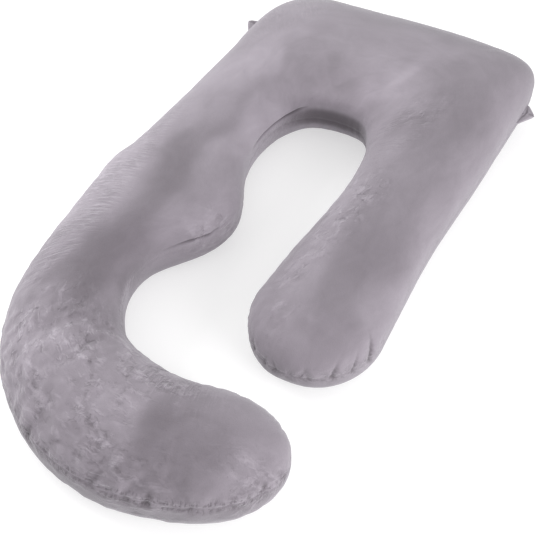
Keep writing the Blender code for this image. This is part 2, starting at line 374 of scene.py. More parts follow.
def outward(points):
    """Unit normals of the grid from the differences between neighbours."""
    down = np.gradient(points, axis=0)
    across = (np.roll(points, -1, 1) - np.roll(points, 1, 1)) / 2.0
    normal = np.cross(across, down)
    normal /= np.linalg.norm(normal, axis=-1, keepdims=True) + 1e-12
    centre = points.mean(axis=1, keepdims=True)
    sign = np.sign(np.einsum("ijk,ijk->ij", normal, points - centre).mean())
    return normal * sign


swelling = banded(SWELLINGS, 2)
smooth_skin = smooth_skin + outward(smooth_skin) * swelling[..., None]
print("largest swelling", (swelling.max() * 1000).round(1), "mm")

# %% [markdown]
# A grid becomes a closed tube when its last column is joined to its first,
# and one point closes each end. Faces that all turn the same way round have
# one side outwards, and the sign of the volume tells which side that is.


# %% Faces of the grid
def tube_faces(rings, columns):
    """Quads between neighbouring rings, closed round the columns, and a fan
    of triangles from one pole point at each end."""
    index = np.arange(rings * columns).reshape(rings, columns)
    beside = np.roll(index, -1, axis=1)
    quads = np.stack([index[:-1], index[1:], beside[1:], beside[:-1]], axis=-1).reshape(-1, 4)
    first_pole, last_pole = rings * columns, rings * columns + 1
    first = np.stack([index[0], beside[0], np.full(columns, first_pole)], axis=-1)
    last = np.stack([beside[-1], index[-1], np.full(columns, last_pole)], axis=-1)
    return quads, np.concatenate([first, last])


def with_poles(points):
    """The grid's points in one list, with the mean of each end ring added."""
    return np.concatenate([points.reshape(-1, 3), points[0].mean(0)[None], points[-1].mean(0)[None]])


def volume_inside(points, quads):
    """Volume from the signed tetrahedra between each quad's two halves and
    the origin: positive where the faces point outwards."""
    a, b, c, d = (points[quads[:, k]] for k in range(4))
    halves = np.einsum("ij,ij->i", a, np.cross(b, c)) + np.einsum("ij,ij->i", a, np.cross(c, d))
    return halves.sum() / 6.0


skin_quads, skin_fans = tube_faces(RINGS, COLUMNS)
print("volume", abs(volume_inside(with_poles(smooth_skin), skin_quads)).round(4), "m3")

# %% [markdown]
# ## The cloth's own folds
#
# A stuffed cover is never as smooth as its drawing. The panels are a little
# larger than the form that the seam allows, so the cloth bulges and gathers
# towards the sewn line. The cloth solver finds those folds: the grid starts a
# little slack, is blown up with pressure and no gravity, the seam and the
# pressed underside are held, and the panels are let out by a few per cent
# so that they have cloth to spare: most at the bend of the hook and at the
# round ends, least on the taut crowns. Only the folds are kept. The broad
# swelling is taken out again, because the form is already the full one.

# %% Patches on the skin
Patch = collections.namedtuple("Patch", "place x y along across turn strength")
LOOSE = (
    Patch("bend of the hook", -0.17, -0.60, 0.20, 0.11, -32, 0.8),
    Patch("lower edge of the hook", 0.00, -0.70, 0.22, 0.08, -5, 0.9),
    Patch("end of the hook", 0.26, -0.62, 0.10, 0.10, 0, 0.7),
    Patch("end of the straight arm", 0.21, -0.29, 0.18, 0.08, 0, 0.9),
    Patch("outer side of the long arm", -0.37, -0.12, 0.24, 0.05, 92, 0.25),
    Patch("bump", -0.10, -0.10, 0.08, 0.05, 50, 0.5),
    Patch("corner of the hollow", -0.12, 0.30, 0.06, 0.05, 60, 0.5),
)


def painted(points, patches):
    """Sum of soft patches on the upper panel: each falls with the square of the
    distance along its own direction and the fourth power of that across it."""
    total = np.zeros(points.shape[:2])
    for patch in patches:
        angle = math.radians(patch.turn)
        x, y = points[..., 0] - patch.x, points[..., 1] - patch.y
        along = (x * math.cos(angle) + y * math.sin(angle)) / patch.along
        across = (y * math.cos(angle) - x * math.sin(angle)) / patch.across
        total += patch.strength * np.exp(-(along**2) - across**4)
    return total * np.clip((points[..., 2] - 0.015) / 0.04, 0.0, 1.0)


# %% Cloth solver
SLACK = 0.97
SPARE_CLOTH = 0.038
SIM_FRAMES = 16
LARGEST_MOVE = 0.0075
TAUT = 0.20
BROAD_BLUR = (7.0, 6.0)
LONG_BLUR, LONG_SHARE = (6.0, 0.0), 0.75
FOLDS_BELOW = 0.35
loose = np.clip(TAUT + painted(smooth_skin, LOOSE), 0.0, 1.0)
sim_skin = skin(ALONG[::2, ::2], AROUND[::2, ::2], SLACK)
sim_rings, sim_columns = sim_skin.shape[:2]


def seam_nearness(around, reach):
    """1 on the seam and 0 away from it, by how far round the ring a point is."""
    aside = np.minimum(np.abs(around), np.minimum(np.abs(around - 1.0), np.abs(2.0 - around)))
    return np.exp(-((aside / reach) ** 2))


def add_group(piece, name, weights):
    """A vertex group from an array of weights, in 20 steps of weight."""
    group = piece.vertex_groups.new(name=name)
    levels = np.round(weights.reshape(-1) * 20.0).astype(int)
    for level in np.unique(levels[levels > 0]):
        group.add(np.nonzero(levels == level)[0].tolist(), level / 20.0, "REPLACE")


def blown_up(points, spare, frames):
    """Runs Blender's cloth on a grid of points and gives back where the
    points went. spare is by how much the panels are let out."""
    quads, fans = tube_faces(*points.shape[:2])
    if volume_inside(with_poles(points), quads) < 0.0:
        quads, fans = quads[:, ::-1], fans[:, ::-1]
    mesh = bpy.data.meshes.new("trial_cloth")
    mesh.from_pydata(with_poles(points).tolist(), [], quads.tolist() + fans.tolist())
    piece = bpy.data.objects.new("trial_cloth", mesh)
    bpy.context.scene.collection.objects.link(piece)
    around = AROUND[::2, ::2]
    held = np.maximum(seam_nearness(around, 0.012), points[..., 2] < 0.002)
    add_group(piece, "held", np.append(held.reshape(-1), [1.0, 1.0]))
    tight = np.maximum(1.0 - loose[::2, ::2], seam_nearness(around, 0.015))
    add_group(piece, "tight", np.append(tight.reshape(-1), [1.0, 1.0]))
    cloth = piece.modifiers.new("cloth", "CLOTH")
    setting = cloth.settings
    setting.quality = 4
    setting.mass = 0.3
    setting.tension_stiffness = setting.compression_stiffness = 15.0
    setting.shear_stiffness = 5.0
    setting.bending_stiffness = 0.15
    setting.use_pressure = True
    setting.uniform_pressure_force = 4.0
    setting.effector_weights.gravity = 0.0
    setting.vertex_group_mass = "held"
    setting.pin_stiffness = 20.0
    setting.vertex_group_shrink = "tight"
    setting.shrink_min, setting.shrink_max = -spare, 0.0
    cloth.collision_settings.use_collision = False
    cloth.collision_settings.use_self_collision = False
    cloth.point_cache.frame_start, cloth.point_cache.frame_end = 1, frames
    for number in range(1, frames + 1):
        bpy.context.scene.frame_set(number)
    moved = piece.evaluated_get(bpy.context.evaluated_depsgraph_get()).data
    result = np.empty(len(moved.vertices) * 3, np.float32)
    moved.vertices.foreach_get("co", result)
    bpy.data.objects.remove(piece)
    bpy.data.meshes.remove(mesh)
    bpy.context.scene.frame_set(1)
    return result.reshape(-1, 3)[:-2].reshape(points.shape).astype(float)


def blurred(values, ring_spread, column_spread):
    """Gaussian blur of a grid, whole arrays at a time: mirrored past the two
    end rings, and running round the columns."""
    size = len(values)
    padded = np.concatenate([values[::-1], values, values[::-1]])
    rings = np.fft.fftfreq(len(padded))[:, None, None]
    columns = np.fft.fftfreq(values.shape[1])[None, :, None]
    keep = np.exp(-2.0 * math.pi**2 * ((ring_spread * rings) ** 2 + (column_spread * columns) ** 2))
    return np.fft.ifft2(np.fft.fft2(padded, axes=(0, 1)) * keep, axes=(0, 1)).real[size : 2 * size]


def doubled(values, closed):
    """Twice as many rows along the first axis: each new row is
    9/16 of its two neighbours less 1/16 of the next two."""
    if closed:
        before, after, further = np.roll(values, 1, 0), np.roll(values, -1, 0), np.roll(values, -2, 0)
    else:
        before = np.concatenate([values[:1], values[:-1]])
        after = np.concatenate([values[1:], values[-1:]])
        further = np.concatenate([values[2:], values[-1:], values[-1:]])
    between = (9.0 * (values + after) - before - further) / 16.0
    woven = np.stack([values, between], axis=1).reshape(-1, *values.shape[1:])
    return woven if closed else woven[:-1]


settled = blown_up(sim_skin, SPARE_CLOTH, SIM_FRAMES)
moves = settled - sim_skin
print("cloth moved", (np.linalg.norm(moves, axis=-1).max() * 1000).round(1), "mm at most")
moves = moves - blurred(moves, *BROAD_BLUR)
moves = moves - LONG_SHARE * blurred(moves, *LONG_BLUR)
length = np.linalg.norm(moves, axis=-1, keepdims=True)
moves *= 1.0 / (1.0 + length / LARGEST_MOVE)
folds = doubled(doubled(moves, False).swapaxes(0, 1), True).swapaxes(0, 1)
folds *= (loose * np.where(AROUND > 1.0, FOLDS_BELOW, 1.0))[..., None]
print("folds kept, mm:", (np.linalg.norm(folds, axis=-1).max() * 1000).round(2))

# %% [markdown]
# ## The seam and its puckers
#
# The panels meet in a plain sewn seam, turned inwards: a narrow groove with
# the cloth rolled over on both sides. Where the seam runs round a tight
# curve the cloth is gathered, and short puckers stand across it. They are
# drawn after the folds, because a groove a few millimetres wide would be
# lost in the solver.


# %% Distances from the seam
def lengths_round(points):
    """Length of cloth from the start of each ring to each column, in metres,
    and that of the whole ring in the last column."""
    steps = np.linalg.norm(np.roll(points, -1, 1) - points, axis=-1)
    return np.concatenate([np.zeros((len(points), 1)), np.cumsum(steps, axis=1)], axis=1)


def lengths_along(line):
    """Length from the first point of a line to each of its points, in metres."""
    return np.append(0.0, np.cumsum(np.linalg.norm(np.diff(line, axis=0), axis=-1)))


round_lengths = lengths_round(smooth_skin)
at_far_seam = round_lengths[:, UPPER_COLUMNS]
whole = round_lengths[:, -1]
here = round_lengths[:, :-1]
from_far_seam = np.abs(here - at_far_seam[:, None])
SEAM_DISTANCE = np.minimum(np.minimum(here, from_far_seam), whole[:, None] - here)
OUT = outward(smooth_skin)
print("ring of cloth at the head:", round(float(whole[RINGS // 3]), 3), "m")

# %% Groove
SEAM_DEPTH = 0.0011
SEAM_REACH = 0.0028
ROLL_HEIGHT = 0.0001
ROLL_PLACE = 0.0080

FAINT_SEAM = (
    Band("end of the hook", 25.0, 1.0, 0.60, 1.6, -0.6),
    Band("lower side of the hook", 23.8, 0.0, 0.90, 0.3, -0.7),
    Band("lower side of the hook, below the seam", 23.8, 2.0, 0.90, 0.3, -0.7),
    Band("inner side of the long arm", 17.5, 1.0, 2.8, 0.3, -0.6),
    Band("end of the straight arm", -0.8, 1.0, 0.40, 1.6, -0.4),
)
seam_shown = np.clip(1.0 + banded(FAINT_SEAM, 4), 0.0, 1.0)
groove = SEAM_DEPTH * seam_shown * np.exp(-((SEAM_DISTANCE / SEAM_REACH) ** 2))
rolled = ROLL_HEIGHT * np.exp(-(((SEAM_DISTANCE - ROLL_PLACE) / SEAM_REACH) ** 2))

# %% Puckers
Pucker = collections.namedtuple("Pucker", "direction depth width reach lean")
REACH_BELOW = 0.5
RIDGE_SHARE, TROUGH_SPREAD = 0.55, 1.6
CLEAR_OF_CENTRE = 0.03
ARM_CENTRE = (0.215, -0.215)
ARM_PUCKERS = (
    Pucker(234, 0.0034, 0.0056, 0.026, 0.3),
    Pucker(249, 0.0022, 0.0060, 0.030, -0.2),
    Pucker(260, 0.0024, 0.0066, 0.030, 0.3),
    Pucker(281, 0.0018, 0.0060, 0.026, -0.3),
    Pucker(288, 0.0022, 0.0060, 0.030, 0.2),
    Pucker(307, 0.0042, 0.0056, 0.034, -0.35),
    Pucker(326, 0.0038, 0.0054, 0.034, -0.4),
    Pucker(344, 0.0050, 0.0062, 0.044, -0.4),
)
HOOK_CENTRE = (0.130, -0.600)
HOOK_PUCKERS = (
    Pucker(252, 0.0020, 0.0100, 0.036, 0.0),
    Pucker(265, 0.0024, 0.0072, 0.036, -0.3),
    Pucker(301, 0.0022, 0.0072, 0.036, 0.3),
    Pucker(330, 0.0018, 0.0090, 0.036, -0.2),
    Pucker(343, 0.0018, 0.0100, 0.036, -0.35),
    Pucker(353, 0.0026, 0.0072, 0.040, -0.2),
    Pucker(8, 0.0020, 0.0120, 0.040, 0.2),
)


def pucker_field(centre, puckers):
    """Depth of the puckers at one round end. Each is a trough that runs out
    from the centre, leaning a little to one side: it fades with the square of
    the distance aside, and with that of the distance from the seam, sooner on
    the lower panel, and has a soft ridge on each side."""
    offset = smooth_skin[..., :2] - np.array(centre)
    depth = np.zeros(offset.shape[:2])
    for pucker in puckers:
        angle = math.radians(pucker.direction)
        ahead = offset[..., 0] * math.cos(angle) + offset[..., 1] * math.sin(angle)
        aside = offset[..., 1] * math.cos(angle) - offset[..., 0] * math.sin(angle)
        spread = (aside + pucker.lean * SEAM_DISTANCE) / pucker.width
        trough = (1.0 - RIDGE_SHARE * spread**2) * np.exp(-(spread**2) / TROUGH_SPREAD)
        reach = pucker.reach * np.where(AROUND > 1.0, REACH_BELOW, 1.0)
        fade = np.exp(-((SEAM_DISTANCE / reach) ** 2))
        depth += np.where(ahead > CLEAR_OF_CENTRE, pucker.depth * trough * fade, 0.0)
    return depth


puckers = pucker_field(ARM_CENTRE, ARM_PUCKERS) + pucker_field(HOOK_CENTRE, HOOK_PUCKERS)
print("deepest pucker", (puckers.max() * 1000).round(1), "mm")

# %% [markdown]
# Between those puckers the whole seam is slightly gathered, as any long
# seam in plush is. Sums of waves of unequal length give that without a
# repeat: they run along the sewn line and die out into the panels.

# %% Gathers
outer_steps = lengths_along(smooth_skin[:, 0])
inner_steps = lengths_along(smooth_skin[:, UPPER_COLUMNS])
print("seam length, outer edge", outer_steps[-1].round(2), "m; inner edge", inner_steps[-1].round(2), "m")
GATHER = 0.0006
GATHER_REACH = 0.024
OUTER_WAVES, INNER_WAVES = (0.031, 0.023, 0.044), (0.029, 0.021, 0.040)
WAVES_IN_GROUP = 7.3


def waves(distance, lengths, seed):
    """A sum of sine waves of the given lengths with shifted starts, whose own
    size swells and fades slowly, so that gathers come in groups."""
    rng = np.random.default_rng(seed)
    total = np.zeros_like(distance)
    for length in lengths:
        start, swell = rng.uniform(0.0, 2.0 * math.pi, 2)
        group = 0.5 + 0.5 * np.sin(2.0 * math.pi * distance / (length * WAVES_IN_GROUP) + swell)
        total += group * np.sin(2.0 * math.pi * distance / length + start)
    return total / math.sqrt(len(lengths))


mid_upper, mid_lower = at_far_seam[:, None] / 2.0, (at_far_seam + whole)[:, None] / 2.0
near_outer = (here < mid_upper) | (here > mid_lower)
outer_gathers = waves(outer_steps, OUTER_WAVES, 3)[:, None]
inner_gathers = waves(inner_steps, INNER_WAVES, 8)[:, None]
gather_line = np.where(near_outer, outer_gathers, inner_gathers)
gathers = GATHER * gather_line * np.exp(-((SEAM_DISTANCE / GATHER_REACH) ** 2))

# %% [markdown]
# Small crumples, about a finger wide, lie in groups at the bend of the hook
# and beside the seams. Smoothed random numbers on the grid give a gentle
# relief, and its absolute value turns that into ridges that meet in sharp
# creases, as crushed cloth does.

# %% Crumples
CRUMPLE = 0.0015
CRUMPLED_EVERYWHERE = 0.10
CRUMPLED = (
    Patch("bend of the hook", -0.14, -0.59, 0.18, 0.11, -30, 1.0),
    Patch("foot of the long arm", -0.27, -0.50, 0.09, 0.08, 70, 0.5),
    Patch("lower edge of the hook", -0.02, -0.70, 0.18, 0.06, -10, 1.0),
    Patch("inner side of the straight arm", 0.13, -0.04, 0.14, 0.04, 90, 0.9),
    Patch("end of the straight arm", 0.17, -0.28, 0.10, 0.06, 20, 0.5),
    Patch("bump", -0.10, -0.11, 0.06, 0.03, 50, 1.0),
    Patch("end of the hook", 0.27, -0.63, 0.08, 0.07, 0, 0.7),
)


def crumpled(seed, ring_spread, column_spread):
    """Seeded random numbers on the grid, smoothed, scaled to a spread of one,
    and folded at zero: ridges one high, with sharp creases between them."""
    noise = np.random.default_rng(seed).normal(size=(RINGS, COLUMNS, 1))
    relief = blurred(noise, ring_spread, column_spread)[..., 0]
    relief /= relief.std()
    return np.minimum(np.abs(relief), 1.6) - 0.8


crumples = crumpled(5, 1.6, 2.4) + 0.6 * crumpled(6, 3.2, 4.5)
crumples *= CRUMPLE * np.clip(CRUMPLED_EVERYWHERE + painted(smooth_skin, CRUMPLED), 0.0, 1.0)
print("crumples, mm:", (crumples.std() * 1000).round(2), "on the whole")
print("highest crumple, mm:", (np.abs(crumples).max() * 1000).round(1))

# %% [markdown]
# Two sharp folds stand out on the real pillow. One runs beside the seam below
# the bump, where the cloth is pinched between the bump and the bay. The
# other crosses the left corner of the head's hollow, where the crown turns
# down into the wall. Each is a line on the skin, given by how far round the
# ring it lies at a few ribs, with a narrow furrow and a raised lip above it.

# %% Creases
Crease = collections.namedtuple("Crease", "place ribs around depths width")
CREASES = (
    Crease(
        "below the bump",
        (16.65, 16.90, 17.10, 17.45, 17.75, 18.15),
        (0.928, 0.938, 0.950, 0.950, 0.958, 0.970),
        (0.0, 0.0026, 0.0050, 0.0044, 0.0020, 0.0),
        0.0038,
    ),
    Crease(
        "left corner of the hollow",
        (10.60, 11.40, 12.20, 12.90, 13.80, 14.40),
        (0.925, 0.930, 0.940, 0.950, 0.950, 0.955),
        (0.0, 0.0050, 0.0066, 0.0056, 0.0034, 0.0),
        0.0046,
    ),
)


def crease_field(crease):
    """Furrow along a line on the skin. Its depth falls with the square of the
    distance round the ring from the line, and its lip stands two widths
    further up the upper panel."""
    at_ring = np.interp(ring_places, crease.ribs, crease.around)
    depth = np.interp(ring_places, crease.ribs, crease.depths, left=0.0, right=0.0)
    left = np.clip(np.searchsorted(column_places, at_ring, "right") - 1, 0, COLUMNS - 2)
    part = (at_ring - column_places[left]) / (column_places[left + 1] - column_places[left])
    ring = np.arange(RINGS)
    at_line = here[ring, left] * (1.0 - part) + here[ring, left + 1] * part
    above = (at_line[:, None] - here) / crease.width
    furrow = np.exp(-(above**2)) - 0.5 * np.exp(-((above - 2.0) ** 2))
    return depth[:, None] * furrow


creases = sum(crease_field(crease) for crease in CREASES)
print("deepest crease", (creases.max() * 1000).round(1), "mm")

# %% [markdown]
# The reliefs add up along the skin's outward direction. They die out towards
# the floor, where the cloth is pressed flat, so that no edge dips below it.

# %% The finished skin
PRESSED_BELOW = 0.02
inwards = groove + puckers + gathers + creases - crumples - rolled
on_floor = np.clip(smooth_skin[..., 2] / PRESSED_BELOW, 0.0, 1.0)
dressed = smooth_skin + folds * on_floor[..., None] - OUT * (inwards * on_floor)[..., None]
dressed[..., 2] = np.maximum(dressed[..., 2], 0.0)
print("dressed box:", dressed.reshape(-1, 3).min(0).round(4), dressed.reshape(-1, 3).max(0).round(4))

# %% [markdown]
# ## Plush cloth
#
# Plush has a short dense pile. It looks dark where one looks down into it
# and pale where the tips of the pile are seen edge on, and it keeps the marks
# of every touch: patches where the pile lies another way, and small bright
# flecks where it is crushed. The shader's sheen gives the pale edges. The
# marks are noise in the cloth's own coordinates, in metres, so that they run
# with the cloth round every bend.


# %% Coordinates of the cloth
def panel_coordinates(points):
    """Where each grid point lies on its flat panel: metres along the pillow's
    middle line, and metres across from the middle of the panel."""
    steps = lengths_along(points.mean(axis=1))
    across = lengths_round(points)
    upper = across[:, : UPPER_COLUMNS + 1] - across[:, UPPER_COLUMNS : UPPER_COLUMNS + 1] / 2.0
    lower = across[:, UPPER_COLUMNS:] - (across[:, UPPER_COLUMNS] + across[:, -1])[:, None] / 2.0 + 3.0
    left = np.concatenate([upper[:, :-1], lower[:, :-1]], axis=1)
    right = np.concatenate([upper[:, 1:], lower[:, 1:]], axis=1)
    return steps, left, right


def corner_pairs(steps, left, right):
    """The two coordinates at the four corners of each quad, in face order."""
    along_a = np.broadcast_to(steps[:-1, None], left[:-1].shape)
    along_b = np.broadcast_to(steps[1:, None], left[1:].shape)
    corners = ((along_a, left[:-1]), (along_b, left[1:]), (along_b, right[1:]), (along_a, right[:-1]))
    return np.stack([np.stack(pair, -1) for pair in corners], axis=2).reshape(-1, 4, 2)


quad_uv = corner_pairs(*panel_coordinates(smooth_skin))
print("panel is", quad_uv[..., 0].max().round(2), "m long")


# %% [markdown]
# ## Marks in the pile, and painted light and shade
#
# Broad patches of tone are painted for a hand's breadth or two: painted
# shade down the crowns, and painted sheen, paler, on the bump and along the
# outer side of the long arm. They are partly the pile's own tone, where it
# lies flat from stroking. Elsewhere the pile is crushed into small flecks and
# dents, or combed into fine streaks. Each kind of mark is painted as soft
# patches on the skin, and kept with the mesh as a number at each point, so
# that it stays with the cloth from every side.

# %% Painted light and shade, crushed and combed places
# Painted light and shade with some pile tone: the darker patches stand for shade down the crowns, in the
# bay and on the head, the paler ones for sheen on the sides and the bump.
PILE_AND_PAINTED_LIGHT = (
    Patch("crown of the long arm", -0.245, 0.00, 0.20, 0.045, 92, -0.32),
    Patch("crown above the bay", -0.26, -0.36, 0.16, 0.065, 75, -0.32),
    Patch("inner side of the bay", -0.155, -0.45, 0.09, 0.055, -55, -0.24),
    Patch("middle of the hook", 0.145, -0.61, 0.13, 0.09, 92, -0.24),
    Patch("turn of the pile on the hook", 0.088, -0.59, 0.11, 0.026, 92, -0.12),
    Patch("crown of the straight arm", 0.265, -0.08, 0.27, 0.060, 92, -0.24),
    Patch("back edge of the head", 0.08, 0.72, 0.34, 0.06, 0, -0.20),
    Patch("right side of the head", 0.27, 0.47, 0.20, 0.070, 80, -0.22),
    Patch("head, above the hollow", -0.06, 0.43, 0.08, 0.045, 10, -0.14),
    Patch("outer side of the long arm", -0.365, -0.10, 0.20, 0.050, 92, 0.30),
    Patch("shoulder", -0.27, 0.38, 0.19, 0.055, 86, 0.30),
    Patch("inner side of the long arm", -0.15, 0.18, 0.12, 0.040, 90, 0.34),
    Patch("bump", -0.12, -0.14, 0.10, 0.060, 62, 0.16),
    Patch("soft ridge on the head", 0.13, 0.50, 0.10, 0.022, 85, 0.14),
    Patch("bend of the hook", -0.27, -0.54, 0.12, 0.075, -40, 0.26),
    Patch("hook, above the seam", -0.02, -0.62, 0.07, 0.06, 0, 0.14),
    Patch("head, beside the hollow", 0.09, 0.46, 0.13, 0.07, -15, 0.20),
    Patch("inner side of the straight arm", 0.145, 0.00, 0.34, 0.045, 93, 0.18),
)
CRUSHED = (
    Patch("bend of the hook", -0.14, -0.57, 0.20, 0.12, -30, 1.0),
    Patch("foot of the long arm", -0.26, -0.51, 0.08, 0.08, 60, 0.4),
    Patch("lower edge of the hook", -0.02, -0.70, 0.16, 0.06, -10, 0.9),
    Patch("inner side of the hook", 0.03, -0.52, 0.08, 0.05, -10, 0.8),
    Patch("inner side of the straight arm", 0.165, 0.05, 0.11, 0.050, 80, 1.0),
    Patch("inner side, low", 0.145, -0.16, 0.07, 0.030, 80, 0.7),
    Patch("end of the straight arm", 0.16, -0.28, 0.05, 0.05, 60, 0.4),
    Patch("bump", -0.10, -0.10, 0.05, 0.03, 40, 0.9),
    Patch("hook's end", 0.27, -0.63, 0.07, 0.06, 0, 0.6),
    Patch("head, right of the middle", 0.20, 0.38, 0.10, 0.05, 70, 0.4),
)
COMBED = (
    Patch("outer side of the long arm", -0.375, -0.06, 0.22, 0.06, 92, 0.8),
    Patch("outer side, low", -0.36, -0.32, 0.14, 0.05, 80, 0.6),
    Patch("head, right of the middle", 0.17, 0.32, 0.12, 0.05, 60, 0.3),
    Patch("left corner of the head", -0.28, 0.60, 0.14, 0.07, 60, 0.35),
    Patch("hook, inner side", 0.03, -0.52, 0.10, 0.05, -10, 0.6),
)

# %% [markdown]
# Some marks follow the seam and the walls instead, by rib and by place round
# the ring: painted shade in the wall of the hollow and low on the sides, and
# dark strokes of painted shade where the seam is gathered. A patch with a
# perfect edge looks printed, so the patches of painted light and pile tone
# are read from a skin that seeded smooth noise has pushed a little aside.

# %% Marks by rib
# Painted shade: darker pile where the wall of the hollow and the low sides lie in shade.
PAINTED_SHADE_BANDS = (
    Band("wall of the hollow", 8.2, 0.995, 4.0, 0.052, -0.62),
    Band("lower side of the hook", 23.0, 1.930, 4.2, 0.075, -0.24),
    Band("lower side of the arm's end", -0.5, 1.500, 0.7, 0.520, -0.14),
)
# Places where the dark strokes of painted shade in the gathers are strongest.
PINCHED = (
    Band("outer edge of the hook", 23.2, 1.0, 3.4, 1.6, 0.75),
    Band("end of the straight arm", -0.7, 1.0, 0.7, 1.6, 0.55),
    Band("bump", 17.0, 0.95, 0.9, 0.12, 0.1),
    Band("left corner of the hollow", 12.5, 0.97, 1.4, 0.10, 0.2),
)
WOBBLE = 0.014
CREASE_FULL = 0.0045
PUCKER_FROM, PUCKER_OVER = 0.0006, 0.0026
GATHERED_EVERYWHERE = 0.10
GATHERED_TO, GATHERED_FROM = 0.013, 0.0030
SEWN_REACH = 0.0045
wobble = blurred(np.random.default_rng(11).normal(size=(RINGS, COLUMNS, 3)), 5.0, 6.0)
wobble *= WOBBLE / wobble.std()
wobbled_skin = smooth_skin + wobble * (1.0, 1.0, 0.0)

MARKS = {
    "painted_light_and_pile": painted(wobbled_skin, PILE_AND_PAINTED_LIGHT) + banded(PAINTED_SHADE_BANDS, 4),
    # painted shade: darker along the creases and in the puckers
    "pinched": np.clip(creases / CREASE_FULL, 0.0, 1.0)
    + np.clip((puckers - PUCKER_FROM) / PUCKER_OVER, 0.0, 1.0),
    # painted shade: dark strokes where the seam is gathered, which also raise a bump
    "gathered": np.clip(GATHERED_EVERYWHERE + banded(PINCHED, 4), 0.0, 1.0)
    * (np.exp(-((SEAM_DISTANCE / GATHERED_TO) ** 2)) - np.exp(-((SEAM_DISTANCE / GATHERED_FROM) ** 2))),
    "crushed": np.clip(painted(smooth_skin, CRUSHED), 0.0, 1.0),
    "combed": np.clip(painted(smooth_skin, COMBED), 0.0, 1.0),
    "sewn": seam_shown * np.exp(-((SEAM_DISTANCE / SEWN_REACH) ** 2)),
}
for mark, values in MARKS.items():
    print(mark, "from", values.min().round(2), "to", values.max().round(2))


# %% Node helpers
def add_node(tree, kind, **values):
    """A shader node, with plain values set on its named inputs or fields."""
    node = tree.nodes.new(kind)
    for name, value in values.items():
        socket = node.inputs.get(name.replace("_", " "))
        if socket is not None:
            socket.default_value = value
        else:
            setattr(node, name, value)
    return node


def ranged(tree, value, low, high, to_low, to_high):
    """Carries a number from one range to another, and stops at its ends."""
    node = add_node(tree, "ShaderNodeMapRange")
    set_inputs(node, From_Min=low, From_Max=high, To_Min=to_low, To_Max=to_high)
    tree.links.new(value, node.inputs["Value"])
    return node.outputs["Result"]


def combined(tree, operation, *values):
    """The sum, difference or product of some numbers, taken in turn."""
    result = values[0]
    for value in values[1:]:
        node = add_node(tree, "ShaderNodeMath", operation=operation)
        for socket, part in zip(node.inputs, (result, value)):
            if isinstance(part, float):
                socket.default_value = part
            else:
                tree.links.new(part, socket)
        result = node.outputs["Value"]
    return result


def mark(tree, name):
    """The number that the mesh keeps at each point under a name."""
    return add_node(tree, "ShaderNodeAttribute", attribute_name=name).outputs["Fac"]


# %% [markdown]
# Each layer of the finish is one noise. Its row says how much longer its
# marks are along the cloth than across it, how many there are to a metre, how
# rough and bent they are, and which part of the noise becomes which change.
# With one noise for all, every mark would lie in the same places.

# %% Layers of the finish
Layer = collections.namedtuple(
    "Layer", "stretch scale detail roughness distortion low high to_low to_high"
)
LAYERS = {
    "patches": Layer(1.5, 5.0, 3.0, 0.55, 0.0, 0.30, 0.70, 0.94, 1.06),
    "brushed": Layer(1.6, 24.0, 5.0, 0.62, 0.6, 0.30, 0.70, 0.93, 1.07),
    "grain": Layer(1.0, 700.0, 2.0, 0.60, 0.0, 0.20, 0.80, 0.94, 1.06),
    "groups": Layer(1.3, 14.0, 3.0, 0.60, 0.0, 0.36, 0.54, 0.00, 1.00),
    "blotches": Layer(1.2, 34.0, 3.0, 0.60, 0.6, 0.42, 0.66, -0.35, 0.75),
    "flecks": Layer(1.9, 62.0, 3.0, 0.60, 0.5, 0.52, 0.66, 0.00, 1.00),
    "dents": Layer(1.0, 48.0, 3.0, 0.60, 0.7, 0.54, 0.72, 0.00, 1.00),
    "lines": Layer(0.16, 27.0, 3.0, 0.65, 0.3, 0.44, 0.66, -0.45, 1.00),
    "broken": Layer(1.0, 40.0, 2.0, 0.60, 0.0, 0.40, 0.62, 0.00, -0.18),
    "strokes": Layer(0.42, 62.0, 2.0, 0.60, 0.4, 0.46, 0.64, 0.25, -1.00),
    "pile": Layer(1.0, 420.0, 2.0, 0.60, 0.0, 0.00, 1.00, 0.00, 0.45),
}
RAISED_PALER, BLOTCHES_PALER = 0.40, 0.26
# The dents are crushed pile; the second number is painted shade in the creases and puckers.
DENTS_DARKER, PAINTED_CREASE_SHADE = -0.36, -0.50
# Dark strokes in the seam's gathers: painted shade.
PAINTED_GATHER_SHADE = 0.48
LEAST_TONE, MOST_TONE = 0.4, 1.6
DARK_PILE = (1.015, 0.985, 1.0)
PALE_PILE = (0.986, 1.003, 1.006)


def layered(tree, uv, row):
    """One layer: noise on stretched coordinates, carried to its range."""
    mapping = add_node(tree, "ShaderNodeMapping", Scale=(1.0 / row.stretch, 1.0, 1.0))
    tree.links.new(uv, mapping.inputs["Vector"])
    noise = add_node(
        tree,
        "ShaderNodeTexNoise",
        Scale=row.scale,
        Detail=row.detail,
        Roughness=row.roughness,
        Distortion=row.distortion,
    )
    tree.links.new(mapping.outputs["Vector"], noise.inputs["Vector"])
    return ranged(tree, noise.outputs["Fac"], row.low, row.high, row.to_low, row.to_high)


